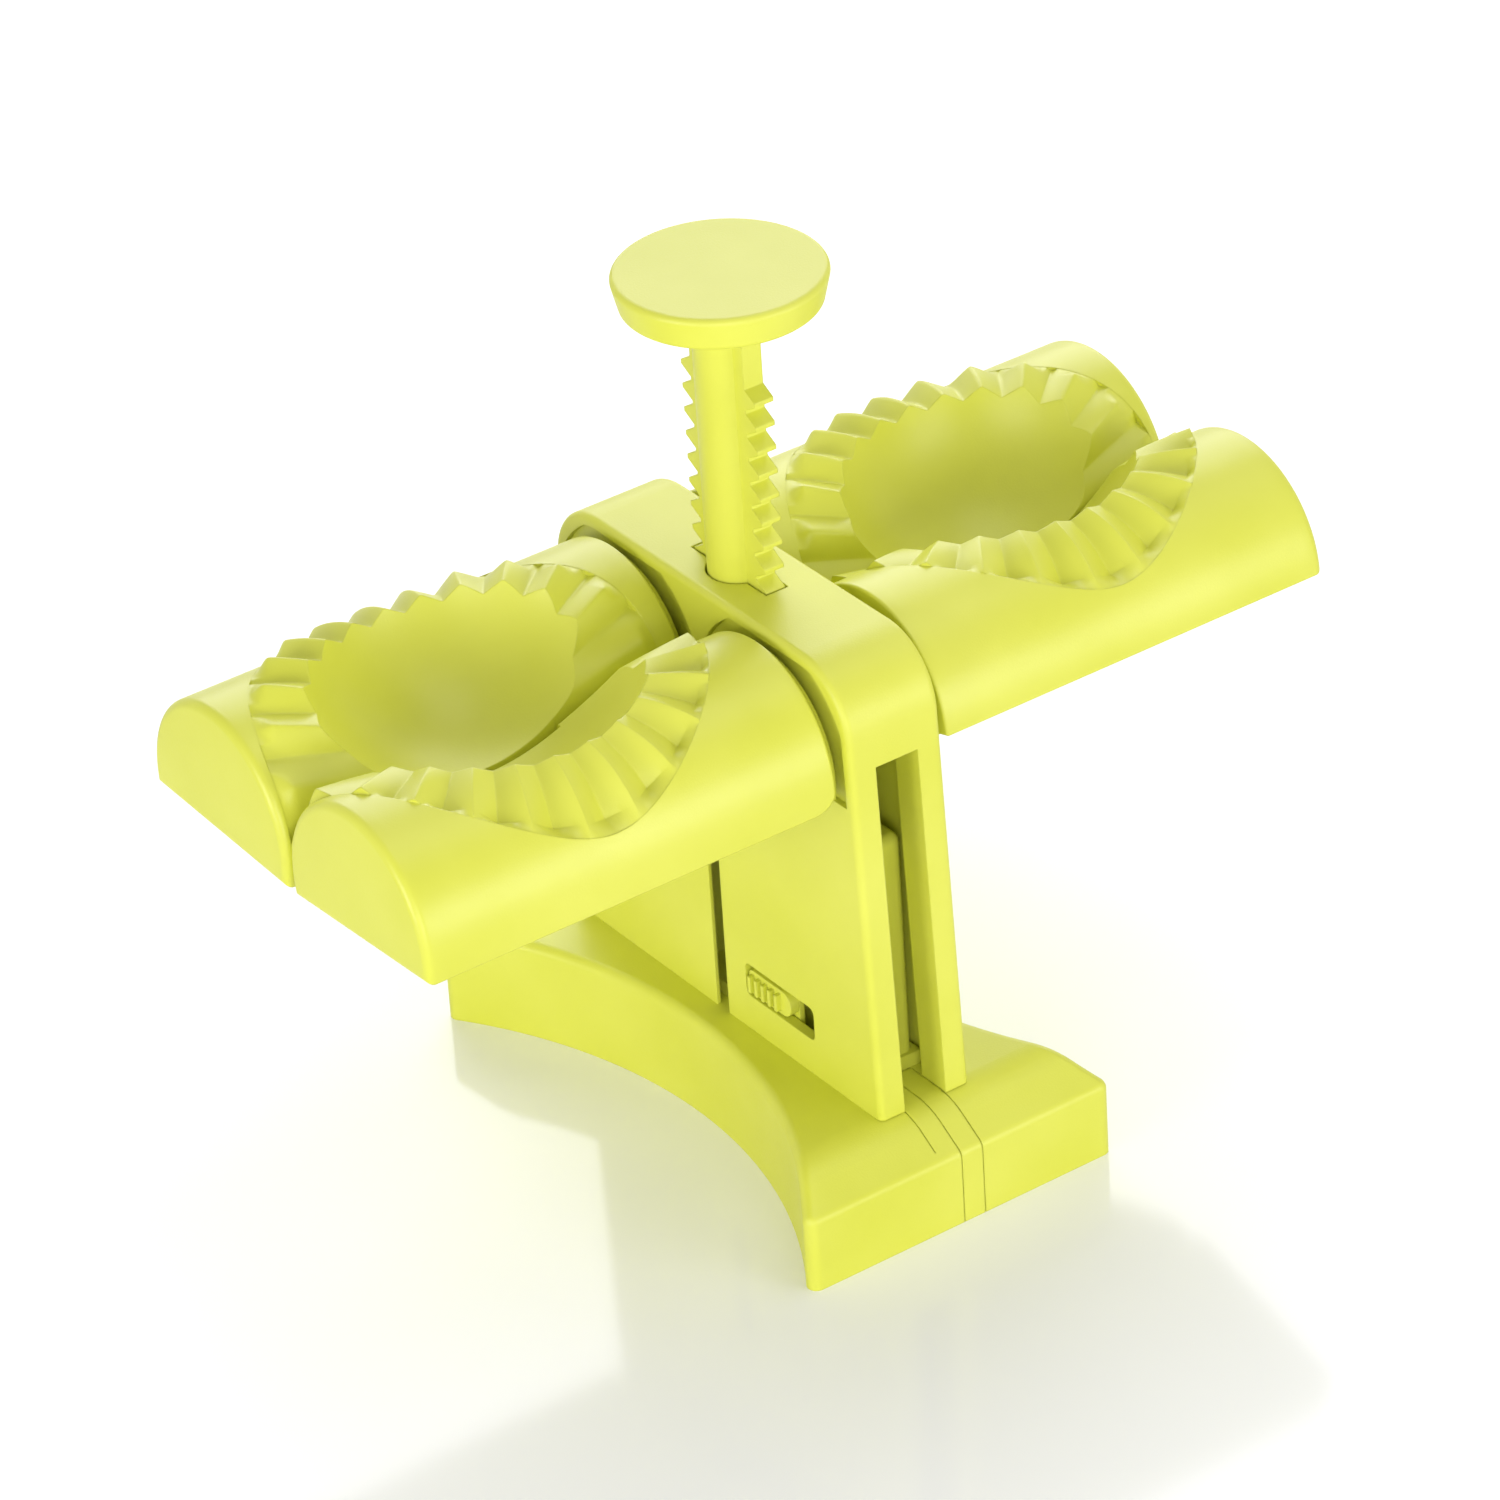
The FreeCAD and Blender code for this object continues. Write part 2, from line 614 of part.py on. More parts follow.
def make_spring():
    radius = DIM["spring_radius"]
    wire_radius = DIM["spring_wire_radius"]
    turns = int(DIM["spring_turns_count"])
    low = DIM["plinth_top"] + DIM["spring_seat_gap"] + wire_radius
    high = DIM["rod_bore_top"] - DIM["spring_seat_gap"] - wire_radius
    climb = (high - low) / (2 * math.pi * turns)

    def helix(angle):
        place = FreeCAD.Vector(radius * math.cos(angle), radius * math.sin(angle), low + climb * angle)
        way = FreeCAD.Vector(-radius * math.sin(angle), radius * math.cos(angle), climb)
        way.normalize()
        return place, way

    arcs = []
    for half in range(2 * turns):
        start, start_way = helix(half * math.pi)
        end, end_way = helix((half + 1) * math.pi)
        arcs += biarc(start, start_way, end, end_way)
    place, way = helix(0)
    ring = Part.Wire(Part.Circle(place, way, wire_radius).toShape())
    coil = Part.Wire(arcs).makePipeShell([ring], True, False)
    wound = coil.Volume / (math.pi * wire_radius ** 2 * Part.Wire(arcs).Length)
    line = [helix(2 * math.pi * i / TURN_POINTS)[0] for i in range(TURN_POINTS * turns + 1)]
    gap = min(point.distanceToPoint(other) for i, point in enumerate(line)
              for other in line[i + TURN_POINTS // 2:i + 2 * TURN_POINTS]) - 2 * wire_radius
    print("return spring: volume over wire section times length %.4f" % wound)
    print("return spring: least gap to itself %.2f mm" % gap)
    node("return_spring", shaped("return_spring", coil))


# Plunger: a round rod with a rack down each side, lugs and a catch at its foot and a flat button on top
def rack_outline():
    """The rack's outline on the positive side, from the foot up: straight-flanked teeth on a pitch."""
    pitch_line = DIM["axle_y"] - DIM["pitch_radius"]
    pitch = DIM["tooth_pitch"]
    lean = math.tan(math.radians(DIM["tooth_angle_degrees"]))
    root = pitch_line - DIM["tooth_dedendum"]
    tip = pitch_line + DIM["tooth_addendum"]
    half = pitch / 4 - DIM["tooth_backlash"]
    root_half = half + DIM["tooth_dedendum"] * lean
    tip_half = half - DIM["tooth_addendum"] * lean
    below = int(DIM["rack_teeth_below_count"])
    above = int(DIM["rack_teeth_above_count"])
    foot = DIM["mould_axis_height"] - below * pitch
    points = [(root, foot)]
    for tooth in range(-below, above + 1):
        middle = DIM["mould_axis_height"] + (tooth + 0.5) * pitch
        points += [(root, middle - root_half), (tip, middle - tip_half), (tip, middle + tip_half),
                   (root, middle + root_half)]
    return points + [(root, DIM["button_foot"])]


def make_plunger():
    column = post("rod_column", "rod_radius", "rod_foot", "button_foot")
    spigot = post("rod_spigot", "spigot_radius", "button_foot - overrun", "button_foot + spigot_height")
    right = rack_outline()
    outline = right + [(-y, z) for y, z in reversed(right)]
    half_thickness = DIM["rack_half_thickness"]
    rack = shaped("rod_rack", flat_prism(outline, -half_thickness, half_thickness))
    lug_reach = "(cavity_depth - lug_clearance)"
    lugs = block("rod_lugs", ("-" + lug_reach, lug_reach), ("-lug_half_width", "lug_half_width"),
                 ("rod_foot", "rod_foot + lug_height"))
    plate = block("rod_catch_plate", ("-catch_front", "-catch_back"),
                  ("-(locked_y + peg_room + catch_margin)", "0"),
                  ("rod_foot", "notch_level + peg_room + catch_rise"))
    cut_x = ("-catch_front - overrun", "-catch_back + overrun / 2")
    entry = block("rod_catch_entry", cut_x, ("-(peg_y + peg_room)", "-(peg_y - peg_room)"),
                  ("rod_foot - overrun", "notch_level + peg_room"))
    notch = block("rod_catch_notch", cut_x, ("-(locked_y + peg_room)", "-peg_y"),
                  ("notch_level - peg_room", "notch_level + peg_room"))
    catch = cut("rod_catch", plate, entry, notch)
    bore = post("rod_bore", "rod_bore_radius", "rod_foot - overrun", "rod_bore_top")
    body = fuse("rod_body", column, spigot, rack, lugs, catch)
    node("rack_rod", cut("rack_rod", body, bore))

    disc = bind(doc.addObject("Part::Cone", "button_disc"),
                dict(spot(z="button_foot"), Radius1="button_foot_radius", Radius2="button_radius",
                     Height="button_thickness"))
    soft = rounded("button_soft", disc, DIM["button_rounding"], lambda box: near(box.ZMin, box.ZMax))
    socket = post("button_socket", "spigot_radius + seam_gap / 4", "button_foot - overrun",
                  "button_foot + spigot_height + seam_gap")
    node("press_button", cut("press_button", soft, socket))


# Lock: a ribbed thumb slide in the front face and, behind it, the keeper whose peg enters the rod's catch
def make_lock():
    half_height = "(slide_high - slide_low) / 2"
    nose_y = "-(lock_outer - %s)" % half_height
    slab = block("lock_slab", ("-lock_face", "-keeper_front"), (nose_y, "-lock_inner"),
                 ("slide_low", "slide_high"))
    heel = rounded("lock_heel", slab, DIM["lock_slot_rounding"],
                   lambda box: near(box.YMin, -DIM["lock_inner"]) and near(box.ZMin, box.ZMax))
    nose = axle("lock_nose", half_height, "-lock_face", "-keeper_front", nose_y,
                "(slide_low + slide_high) / 2")
    ribs = []
    for i in range(int(DIM["lock_rib_count"])):
        start = "(lock_inner + lock_rib_width + %d * lock_rib_pitch)" % i
        ribs.append(block("lock_rib_%d" % i,
                          ("-lock_face - lock_rib_height", "-lock_face + lock_rib_height"),
                          ("-(%s + lock_rib_width)" % start, "-" + start),
                          ("slide_low + lock_rib_width", "slide_high - lock_rib_width")))
    node("lock_slide", fuse("lock_slide", heel, nose, *ribs))

    plate = block("lock_plate", ("-keeper_front", "-keeper_back"),
                  ("-lock_outer", "-lock_inner + lock_plate_margin"),
                  ("lock_slot_low - lock_plate_margin", "lock_slot_high + lock_plate_margin"))
    peg = block("lock_peg", ("-keeper_back", "-catch_back"),
                ("-peg_y - lock_peg_half_width", "-peg_y + lock_peg_half_width"),
                ("lock_middle - lock_peg_half_width", "lock_middle + lock_peg_half_width"))
    node("lock_keeper", fuse("lock_keeper", plate, peg))


def on_axle(row, degrees=0):
    """The place of a piece on the front or rear axle, turned shut by an angle."""
    turn = FreeCAD.Rotation(FreeCAD.Vector(1, 0, 0), row * degrees)
    return FreeCAD.Placement(FreeCAD.Vector(0, row * DIM["axle_y"], DIM["mould_axis_height"]), turn)


# Pinions: involute teeth that fit the rack, with a splined bore for the moulds on both sides
def spline_outline(radius):
    """A ring of small straight serrations, one tip per spline."""
    count = int(DIM["spline_count"])
    points = []
    for i in range(2 * count):
        reach = radius if i % 2 == 0 else radius - DIM["spline_depth"]
        points.append((reach * math.cos(math.pi * i / count), reach * math.sin(math.pi * i / count)))
    return points


def pinion_outline():
    """Tooth flanks as involutes of the base circle, cut off at the tip and root radii."""
    pitch_radius = DIM["pitch_radius"]
    count = int(DIM["pinion_teeth_count"])
    lean = math.radians(DIM["tooth_angle_degrees"])
    base_radius = pitch_radius * math.cos(lean)
    tip_radius = pitch_radius + DIM["tooth_addendum"]
    root_radius = pitch_radius - DIM["tooth_dedendum"]
    half = (math.pi / 2) / count - DIM["tooth_backlash"] / pitch_radius

    def half_angle(radius):
        lean_there = math.acos(min(1, base_radius / radius))
        return half + (math.tan(lean) - lean) - (math.tan(lean_there) - lean_there)

    start = max(base_radius, root_radius)
    flank = [(root_radius, half_angle(start))]
    for i in range(1, FLANK_POINTS + 1):
        radius = start + (tip_radius - start) * i / FLANK_POINTS
        flank.append((radius, half_angle(radius)))
    points = []
    for tooth in range(count):
        middle = 2 * math.pi * tooth / count
        for radius, angle in [(r, -a) for r, a in flank] + [(r, a) for r, a in reversed(flank)]:
            points.append((radius * math.cos(middle + angle), radius * math.sin(middle + angle)))
    return points


def make_pinion(tag, row):
    half_thickness = DIM["pinion_half_thickness"]
    blank = flat_prism(pinion_outline(), -half_thickness, half_thickness)
    bore = flat_prism(spline_outline(DIM["spline_radius"] + DIM["spline_clearance"]),
                      -half_thickness - DIM["overrun"], half_thickness + DIM["overrun"])
    bore.rotate(FreeCAD.Vector(), FreeCAD.Vector(1, 0, 0), row * DIM["rest_tilt_degrees"])
    node("%s_pinion" % tag, shaped("%s_pinion" % tag, blank.cut(bore)), on_axle(row))


# Moulds: half-round shells with a bowl that each pair shares and pleats that mesh as the pair rolls shut
def pleat_columns():
    """Plan angles of the fold lines, with the height of each from valley, minus one, to ridge, plus one.

    The lines stand evenly in plan. Beside the other mould the round falls away steeply, so the first and
    last folds have two more lines, even in their turn round the axle.
    """
    axle_y = DIM["axle_y"]
    pitch = math.pi / DIM["pleat_count"]
    lines = [(i * pitch / 2, (-1) ** i) for i in range(2 * int(DIM["pleat_count"]) + 1)]
    middle = (DIM["pleat_reach"] + DIM["pleat_root"]) / 2
    first_turn = math.acos(1 - middle * math.sin(pitch / 2) / axle_y)
    extra = [(math.asin(axle_y * (1 - math.cos(first_turn * share)) / middle), 1 - 2 * share)
             for share in (1 / 3, 2 / 3)]
    mirrored = [(math.pi - angle, height) for angle, height in reversed(extra)]
    return lines[:1] + extra + lines[1:-1] + mirrored + lines[-1:]


def pleat_grid(row, margin, tuck, height_of):
    """Points on the round, column by column: plan circles laid on the roll, lifted by a height rule.

    Ridges recede a little from both borders, so that they clear the walls of the valleys that they enter.
    One more column at each end is tucked below the level of the axle.
    """
    grid = []
    columns = [(angle, -row * height, None) for angle, height in pleat_columns()]
    columns = [columns[0][:2] + (-tuck,)] + columns + [columns[-1][:2] + (-tuck,)]
    for angle, height, turn in columns:
        border = margin + DIM["pleat_recede"] * (1 + height) / 2
        plan_in = DIM["pleat_root"] + border
        plan_out = DIM["pleat_reach"] - border
        column = []
        for i in range(PLEAT_ROWS + 1):
            plan = plan_in + (plan_out - plan_in) * i / PLEAT_ROWS
            roll = math.acos(1 - plan * math.sin(angle) / DIM["axle_y"]) if turn is None else turn
            reach = height_of(roll, height)
            across = -row * reach * math.cos(roll)
            column.append(FreeCAD.Vector(plan * math.cos(angle), across, reach * math.sin(roll)))
        grid.append(column)
    return grid


def grid_solid(top, bottom):
    """A closed solid of triangles between two grids of points with the same layout."""
    faces = []

    def quad(a, b, c, d):
        for corners in ((a, b, c), (a, c, d)):
            faces.append(Part.Face(Part.makePolygon(list(corners) + [corners[0]])))

    last_column = len(top) - 1
    last_row = len(top[0]) - 1
    for i in range(last_column):
        for j in range(last_row):
            quad(top[i][j], top[i + 1][j], top[i + 1][j + 1], top[i][j + 1])
            quad(bottom[i][j], bottom[i][j + 1], bottom[i + 1][j + 1], bottom[i + 1][j])
        quad(top[i][0], bottom[i][0], bottom[i + 1][0], top[i + 1][0])
        quad(top[i][last_row], top[i + 1][last_row], bottom[i + 1][last_row], bottom[i][last_row])
    for j in range(last_row):
        quad(top[0][j], top[0][j + 1], bottom[0][j + 1], bottom[0][j])
        quad(top[-1][j], bottom[-1][j], bottom[-1][j + 1], top[-1][j + 1])
    solid = Part.Solid(Part.Shell(faces))
    if solid.Volume < 0:
        solid.reverse()
    return solid


def pleat_solids(side, row):
    """The pleated band and the slightly smaller bed that it is let into.

    The rear row starts with a valley, which is tucked further down, to make room for the front row's ridge.
    Where the pair meets, the front row stands proud and the rear row low. The front row sinks at its far side.
    """
    mean = DIM["axle_y"] - DIM["pleat_clearance"] / 2
    lean_start = math.radians(DIM["pleat_lean_start_degrees"])
    lean_end = math.radians(DIM["pleat_lean_end_degrees"])
    lean_far = DIM["pleat_lean"] if row < 0 else 0
    bed_floor = DIM["mould_radius"] - DIM["pleat_bed_depth"]
    bed_top = DIM["axle_y"] + DIM["pleat_bed_depth"]
    lap = DIM["pleat_lap"]
    tuck = math.radians(DIM["pleat_tuck_degrees"] + (DIM["pleat_tuck_room_degrees"] if row > 0 else 0))
    bed_tuck = tuck - lap / DIM["mould_radius"]

    def crest(roll, height):
        share = min(1, max(0, (roll - lean_start) / (lean_end - lean_start)))
        lean = lean_far * share - DIM["pleat_horn"] * (1 - share)
        return mean + row * lean + height * DIM["pleat_height"]

    band = grid_solid(pleat_grid(row, 0, tuck, crest),
                      pleat_grid(row, 0, tuck, lambda roll, height: bed_floor - lap))
    bed = grid_solid(pleat_grid(row, lap, bed_tuck, lambda roll, height: bed_top),
                     pleat_grid(row, lap, bed_tuck, lambda roll, height: bed_floor))
    for solid in (band, bed):
        solid.translate(FreeCAD.Vector(side * DIM["bowl_centre"], 0, 0))
    return band, bed


def mould_place(side, row):
    """Where a mould sits: on its axle, turned shut by the rest tilt, and on the right by one spline more."""
    return on_axle(row, DIM["rest_tilt_degrees"] + (360 / DIM["spline_count"] if side > 0 else 0))


def make_mould(side_tag, side, row_tag, row):
    name = "%s_%s_mould" % (row_tag, side_tag)
    mirror = "-" if side < 0 else ""
    inward = "" if row < 0 else "-"
    round_blank = axle(name + "_round", "mould_radius", *span(mirror, "mould_start", "mould_reach"))
    flange = axle(name + "_flange", "flange_radius",
                  *span(mirror, "tower_half_depth + flange_clearance", "mould_start + mould_wall / 2"))
    under = block(name + "_under", span(mirror, "recess_floor", "mould_reach + overrun"),
                  ("-mould_radius - overrun", "mould_radius + overrun"),
                  ("-mould_radius - overrun", "-mould_flat_drop"))
    half_round = cut(name + "_half_round", fuse(name + "_turned", round_blank, flange), under)
    dee = rounded(name + "_dee", half_round, DIM["mould_end_rounding"],
                  lambda box: near(box.XMin, box.XMax) and near(abs(box.XMin), DIM["mould_reach"]))
    band_solid, bed_solid = pleat_solids(side, row)
    bedded = cut(name + "_bedded", dee, shaped(name + "_bed", bed_solid))
    band = shaped(name + "_band", band_solid)

    shoulder = "pinion_half_thickness + seam_gap"
    journal = axle(name + "_journal", "journal_radius", *span(mirror, shoulder, "mould_start"))
    reach = sorted((side * DIM["seam_gap"], side * (DIM["pinion_half_thickness"] + DIM["overrun"])))
    spline = shaped(name + "_spline", flat_prism(spline_outline(DIM["spline_radius"]), *reach))
    body = fuse(name + "_body", bedded, band, journal, spline)

    centre = spot(mirror + "bowl_centre", inward + "axle_y", "bowl_rise")
    bowl = bind(doc.addObject("Part::Sphere", name + "_bowl"), dict(centre, Radius="bowl_radius"))
    backing = bind(doc.addObject("Part::Sphere", name + "_backing"),
                   dict(centre, Radius="bowl_radius + mould_wall"))
    core_span = span(mirror, "bolt_seat", "mould_reach - mould_wall")
    core = cut(name + "_core", axle(name + "_core_round", "mould_core_radius", *core_span), backing)
    bolt_hole = axle(name + "_bolt_hole", "bolt_radius + bolt_clearance",
                     *span(mirror, "-overrun", "bolt_seat + overrun"))
    cover_half = "(mould_core_radius + cover_ledge)"
    cover_x = ("bolt_seat - cover_ledge", "mould_reach - mould_wall + cover_ledge")
    rebate = block(name + "_rebate", span(mirror, *cover_x), ("-" + cover_half, cover_half),
                   ("-mould_flat_drop - overrun", "-mould_flat_drop + cover_thickness"))
    place = mould_place(side, row)
    node(name, cut(name, body, bowl, core, bolt_hole, rebate), place)

    plate = block(name + "_plate", span(mirror, cover_x[0] + " + seam_gap", cover_x[1] + " - seam_gap"),
                  ("-%s + seam_gap" % cover_half, "%s - seam_gap" % cover_half),
                  ("-mould_flat_drop", "-mould_flat_drop + cover_thickness"))
    pry_span = span(mirror, "bowl_centre - pry_half_length", "bowl_centre + pry_half_length")
    pry = axle(name + "_pry", "cover_thickness / 2", *pry_span, "-%s + seam_gap" % cover_half,
               "-mould_flat_drop")
    node(name + "_cover", cut(name + "_cover", plate, pry), place)


# Tie bolts: one through each axle, holding its two moulds against the pinion between them
def make_tie(row_tag, row_sign):
    name = "%s_tie_bolt" % row_tag
    axis = (row_sign + "axle_y", "mould_axis_height")
    head = axle(name + "_head", "bolt_head_radius", "-bolt_seat - bolt_head_height", "-bolt_seat", *axis)
    shank = axle(name + "_shank", "bolt_radius", "-bolt_seat", "bolt_seat + nut_height + bolt_tail", *axis)
    groove = block(name + "_groove",
                   ("-bolt_seat - bolt_head_height - overrun", "-bolt_seat - bolt_head_height / 2"),
                   (axis[0] + " - bolt_head_radius", axis[0] + " + bolt_head_radius"),
                   ("mould_axis_height - screw_slot_width / 2", "mould_axis_height + screw_slot_width / 2"))
    node(name, cut(name, fuse(name + "_body", head, shank), groove))

    name = "%s_tie_nut" % row_tag
    blank = doc.addObject("Part::Prism", name + "_blank")
    blank.Polygon = NUT_SIDES
    blank.Placement = FreeCAD.Placement(FreeCAD.Vector(), ALONG_X)
    rules = spot("bolt_seat", *axis)
    rules.update(Circumradius="nut_half_flats / cos(180 / %d)" % NUT_SIDES, Height="nut_height")
    thread = axle(name + "_thread", "bolt_radius", "bolt_seat - overrun", "bolt_seat + nut_height + overrun",
                  *axis)
    node(name, cut(name, bind(blank, rules), thread))


make_base()
make_tower()
make_upright()
make_spring()
make_plunger()
make_lock()
for row_tag, row_sign, row in (("front", "-", -1), ("rear", "", 1)):
    make_pinion(row_tag, row)
    for side_tag, side in (("left", -1), ("right", 1)):
        make_mould(side_tag, side, row_tag, row)
    make_tie(row_tag, row_sign)
doc.recompute()

for item in doc.Objects:
    if "Invalid" in item.State or "Error" in item.State:
        raise RuntimeError("%s failed: %s" % (item.Name, item.State))
for item in NODES:
    if item.Shape.isNull() or not item.Shape.isValid() or not item.Shape.Solids:
        raise RuntimeError("%s has no valid solid" % item.Label)

os.makedirs("parts", exist_ok=True)
for item in NODES:
    item.Shape.exportStep("parts/%s.step" % item.Label)
    print("%-26s %2d solids  %10.1f mm3" % (item.Label, len(item.Shape.Solids), item.Shape.Volume))
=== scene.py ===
"""Dumpling maker in lime plastic on a white studio floor.

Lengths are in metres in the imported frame: X along the mould axles, Y across them, Z up. The base, tower,
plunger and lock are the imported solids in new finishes. The four moulds and the return spring are worked out
here as finer surfaces and stand for their solids.
"""
import json
import math

import bmesh
import bpy
import numpy as np
from mathutils import Matrix, Vector


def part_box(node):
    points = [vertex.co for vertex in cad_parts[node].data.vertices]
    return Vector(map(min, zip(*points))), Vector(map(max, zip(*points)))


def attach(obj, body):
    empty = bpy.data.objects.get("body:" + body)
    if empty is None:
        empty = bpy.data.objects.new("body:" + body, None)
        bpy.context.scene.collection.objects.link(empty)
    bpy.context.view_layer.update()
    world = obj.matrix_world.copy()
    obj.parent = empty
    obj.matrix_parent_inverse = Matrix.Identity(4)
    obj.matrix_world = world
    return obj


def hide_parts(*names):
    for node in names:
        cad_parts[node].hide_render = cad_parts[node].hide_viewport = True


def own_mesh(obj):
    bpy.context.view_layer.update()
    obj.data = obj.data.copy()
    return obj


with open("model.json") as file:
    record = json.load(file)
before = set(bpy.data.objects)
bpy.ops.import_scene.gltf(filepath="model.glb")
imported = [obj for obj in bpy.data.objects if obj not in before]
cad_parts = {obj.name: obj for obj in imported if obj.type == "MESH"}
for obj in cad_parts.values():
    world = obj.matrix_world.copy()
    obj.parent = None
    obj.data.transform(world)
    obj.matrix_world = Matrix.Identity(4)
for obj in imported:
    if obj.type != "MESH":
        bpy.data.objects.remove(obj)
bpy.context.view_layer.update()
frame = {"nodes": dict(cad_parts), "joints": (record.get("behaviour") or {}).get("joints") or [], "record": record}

JOINTS = {joint["name"]: joint for joint in frame["joints"]}
NODES = frame["nodes"]

# Sizes of the moulds and their pleats
AXLE = Vector(JOINTS["rear_turn"]["pos_m"])
MOULD_RADIUS = 0.0224
MOULD_START = 0.0127
MOULD_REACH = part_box("front_right_mould")[1].x
MOULD_FLAT = -0.0045
MOULD_END_ROUNDING = 0.0018
MOULD_HEEL_ROUNDING = 0.0006
HEEL_CORNER = 0.0046
HEEL_CORNER_FROM = 0.0184
MOULD_CREASE = math.radians(24)
REST_TILT = math.radians(3)
SPLINE_COUNT = 28
FLANGE_RADIUS = 0.0198
FLANGE_START = 0.0108
JOURNAL_RADIUS = 0.0074
JOURNAL_START = 0.0028
SPLINE_RADIUS = 0.0052
SPLINE_DEPTH = 0.0005
SPLINE_START = 0.0002
INTO_BODY = 0.0008
COVER_HALF_WIDTH = 0.0182
COVER_DEPTH = 0.0014
COVER_START = 0.0136
COVER_END_MARGIN = 0.0009
BOWL_CENTRE = 0.0588
BOWL_RADIUS = 0.0362
BOWL_RISE = 0.0398
PLEAT_COUNT = 13
PLEAT_ROOT = 0.016
PLEAT_REACH = 0.043
PLEAT_HEIGHT = 0.0016
PLEAT_MEAN = AXLE.y - 0.00025
PLEAT_HORN = 0.0006
PLEAT_END_DRAW = 0.0022
PLEAT_LEAN_START = math.radians(40)
PLEAT_LEAN_END = math.radians(140)
PLEAT_LAP = 0.0004
PLEAT_EDGE_LAP = 0.00006
PLEAT_BED = MOULD_RADIUS - 0.0046
PLEAT_LEAST_SHARE = 0.12
CUT_OVERRUN = 0.002

# What differs between the front row, minus one, and the rear row, plus one
PLEAT_TUCK = {-1: math.radians(2.0), 1: math.radians(4.4)}
PLEAT_LEAN = {-1: 0.0021, 1: 0.0013}
PLEAT_WALL = {-1: 0.0015, 1: 0.0034}
PLEAT_EDGE = {-1: 0.0442, 1: 0.0440}
PLEAT_FADE = {-1: 0.0200, 1: 0.0080}
RIDGE_SHARPNESS = {-1: 0.998, 1: 0.985}

# Return spring
SPRING_RADIUS = 0.0032
SPRING_WIRE = 0.0005
SPRING_TURNS = 24
SPRING_CLOSED_TURNS = 1.5
SPRING_OPEN_PITCH = 0.01
SPRING_CREASE = math.radians(40)

# The view: focal length in picture widths, and the camera's turn round the aim
PICTURE_SIZE = 1500
FOCAL_PIXELS = 7288.4
SENSOR_MM = 36.0
AZIMUTH = math.radians(-33.99)
ELEVATION = math.radians(31.77)
ROLL = math.radians(-3.82)
AIM = Vector((-0.00034, 0.0, 0.07583))
DISTANCE = 1.3725

# Colours, linear
LIME = (0.68, 0.70, 0.062)
LIME_PALE = (0.74, 0.755, 0.10)
STEEL = (0.62, 0.63, 0.64)
STEEL_DARK = (0.44, 0.45, 0.47)
WHITE = (1.0, 1.0, 1.0)
FLOOR = (0.93, 0.93, 0.93)

# Finishes
PLASTIC_IOR = 1.49
PLASTIC_GLOSS_SWING = 0.04
PLASTIC_EDGE = 0.0004
STEEL_GLOSS_SWING = 0.06
STEEL_FLOW_SCALE = 900.0

# Studio: the floor's share of plain white rises between two distances; lamps have a place, a size and a power
FLOOR_HALF = 3.0
FLOOR_ROUGHNESS = 0.1
FLOOR_WHITE = 1.3
FLOOR_SHARES = (0.1, 0.9)
FLOOR_FADE = (0.08, 0.42)
ROOM_LIGHT = 0.34
LAMPS = {
    "key_lamp": ((-0.6, -1.05, 0.28), 0.6, 5.2),
    "side_lamp": ((-1.25, -0.2, 0.16), 0.6, 8.2),
    "fill_lamp": ((0.5, -1.15, 0.2), 0.6, 5.8),
    "back_lamp": ((0.57, 0.85, 0.72), 1.0, 9.0),
    "top_lamp": ((0.35, -0.2, 1.2), 0.6, 2.2),
}


# Surfaces
def quads(rows, columns, start=0, ring=False):
    """Corner numbers of a grid's cells, row by row; a ring joins its last column to the first."""
    across = columns if ring else columns - 1
    i, j = np.meshgrid(np.arange(rows - 1), np.arange(across), indexing="ij")
    right = (j + 1) % columns
    corners = [i * columns + j, i * columns + right, (i + 1) * columns + right, (i + 1) * columns + j]
    return (np.stack(corners, -1).reshape(-1, 4) + start).tolist()


def surface(name, points, faces):
    """A mesh of the points and faces, cut into triangles that all face outwards."""
    mesh = bpy.data.meshes.new(name)
    mesh.from_pydata(np.asarray(points).reshape(-1, 3).tolist(), [], faces)
    work = bmesh.new()
    work.from_mesh(mesh)
    bmesh.ops.triangulate(work, faces=work.faces)
    bmesh.ops.recalc_face_normals(work, faces=work.faces)
    work.to_mesh(mesh)
    work.free()
    return mesh


def lofted(name, rings):
    """A closed solid through a stack of closed outlines, with a flat face over the first and the last."""
    rings = np.asarray(rings)
    count, size = rings.shape[:2]
    first_cap = list(range(size))
    last_cap = list(range((count - 1) * size, count * size))
    return surface(name, rings, quads(count, size, ring=True) + [first_cap, last_cap])


def slab(name, top, bottom):
    """A closed solid between two grids of one layout: both sheets and the strips between their borders."""
    rows, columns = top.shape[:2]
    numbers = np.arange(rows * columns).reshape(rows, columns)
    border = np.concatenate([numbers[0], numbers[1:, -1], numbers[-1, -2::-1], numbers[-2:0:-1, 0]])
    after = np.roll(border, -1)
    below = rows * columns
    strip = np.stack([border, after, after + below, border + below], -1).tolist()
    faces = quads(rows, columns) + quads(rows, columns, below) + strip
    return surface(name, np.concatenate([top.reshape(-1, 3), bottom.reshape(-1, 3)]), faces)


def combined(name, mesh, steps):
    """A mesh with other closed meshes joined to it or cut from it in turn."""
    blank = bpy.data.objects.new(name, mesh)
    bpy.context.scene.collection.objects.link(blank)
    tools = []
    for operation, other in steps:
        tool = bpy.data.objects.new(other.name, other)
        bpy.context.scene.collection.objects.link(tool)
        boolean = blank.modifiers.new(other.name, "BOOLEAN")
        boolean.operation = operation
        boolean.solver = "MANIFOLD"
        boolean.object = tool
        tools.append(tool)
    graph = bpy.context.evaluated_depsgraph_get()
    result = bpy.data.meshes.new_from_object(blank.evaluated_get(graph), depsgraph=graph)
    for spent in [blank] + tools:
        bpy.data.objects.remove(spent)
    return result


